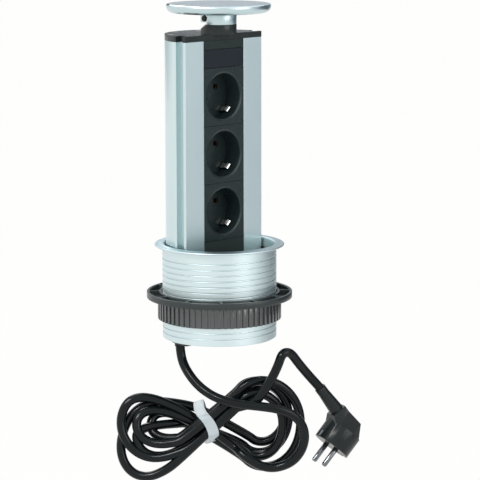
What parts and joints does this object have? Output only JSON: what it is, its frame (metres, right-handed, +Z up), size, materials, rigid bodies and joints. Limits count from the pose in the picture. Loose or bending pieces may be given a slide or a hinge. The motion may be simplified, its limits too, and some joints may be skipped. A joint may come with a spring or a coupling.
{
  "type": "desktop power module",
  "caption": "Pull-up worktop power column with earthed sockets, round lid, threaded barrel with clamp ring and nut, and a banded mains cord with angled plug.",
  "frame": {"origin": "centre of the collar's underside on the barrel's axis, level with the worktop's top face", "axes": "+Z up along the column's travel, -Y out of the socket panel, +X to the reader's right of the panel"},
  "size_m": [0.168, 0.1579, 0.4201],
  "materials": {
    "barrel_aluminium": "satin anodised",
    "column_aluminium": "fine brushed, anodised",
    "lid_aluminium": "polished",
    "clamp_plastic": "moulded",
    "guide_plastic": "moulded",
    "cap_plastic": "moulded",
    "panel_plastic": "fine texture",
    "socket_plastic": "gloss",
    "inner_plastic": "moulded",
    "button_plastic": "gloss",
    "brake_rubber": "matt",
    "contact_brass": "stamped",
    "screw_steel": "zinc plated",
    "clip_steel": "nickel plated",
    "pin_steel": "nickel plated",
    "cord_rubber": "smooth",
    "plug_rubber": "moulded",
    "band_plastic": "satin"
  },
  "bodies": {
    "barrel": {"barrel_sleeve": "barrel_aluminium", "guide_right": "guide_plastic", "guide_left": "guide_plastic"},
    "clamp": {"clamp_ring": "clamp_plastic"},
    "nut": {"ring_nut": "clamp_plastic"},
    "button": {"release_button": "button_plastic"},
    "rod": {"release_rod": "screw_steel"},
    "shoe": {"brake_shoe": "brake_rubber"},
    "column": {"column_profile": "column_aluminium", "filler_strip": "panel_plastic", "label_plate": "panel_plastic", "blank_module": "panel_plastic", "top_end_cap": "cap_plastic", "top_cap_screws": "screw_steel", "lid_neck": "lid_aluminium", "lid_disc": "lid_aluminium", "lid_screw": "screw_steel", "brake_spring": "screw_steel", "lower_end_cap": "cap_plastic", "lower_cap_screws": "screw_steel", "terminal_block": "inner_plastic", "terminal_screws": "screw_steel", "cord_cores": "cord_rubber", "cord_grip": "cord_rubber", "live_bar": "contact_brass", "neutral_bar": "contact_brass", "earth_bar": "contact_brass", "socket_front_1": "socket_plastic", "socket_base_1": "inner_plastic", "socket_contacts_1": "contact_brass", "earth_clip_1": "clip_steel", "socket_front_2": "socket_plastic", "socket_base_2": "inner_plastic", "socket_contacts_2": "contact_brass", "earth_clip_2": "clip_steel", "socket_front_3": "socket_plastic", "socket_base_3": "inner_plastic", "socket_contacts_3": "contact_brass", "earth_clip_3": "clip_steel", "cord_hank": "cord_rubber", "cord_lead": "cord_rubber", "cord_plug_lead": "cord_rubber", "cord_band": "band_plastic", "plug_body": "plug_rubber", "plug_pins": "pin_steel", "plug_earth_contacts": "clip_steel", "plug_strain_relief": "plug_rubber"}
  },
  "joints": [
    {"name": "column_slide", "type": "slide", "parent": "barrel", "child": "column", "axis": [0, 0, 1], "range_m": [-0.207, 0]},
    {"name": "clamp_slide", "type": "slide", "parent": "barrel", "child": "clamp", "axis": [0, 0, 1], "range_m": [-0.014, 0.03]},
    {"name": "nut_turn", "type": "hinge", "parent": "clamp", "child": "nut", "pos_m": [0, 0, 0], "axis": [0, 0, 1], "range_deg": [-1008, 2160]},
    {"name": "button_press", "type": "slide", "parent": "column", "child": "button", "axis": [1, 0, 0], "range_m": [0, 0.0015]},
    {"name": "rod_drop", "type": "slide", "parent": "column", "child": "rod", "axis": [0, 0, -1], "range_m": [0, 0.0015], "stiffness_N_per_m": 400, "springref_m": -0.003},
    {"name": "shoe_retract", "type": "slide", "parent": "column", "child": "shoe", "axis": [0, -1, 0], "range_m": [0, 0.00075], "deforming": ["brake_spring"]}
  ],
  "couplings": [
    {"joint": "nut_turn", "follows": "clamp_slide", "rad_per_m": 1256.6},
    {"joint": "button_press", "follows": "rod_drop", "ratio": 1},
    {"joint": "shoe_retract", "follows": "rod_drop", "ratio": 0.5}
  ]
}
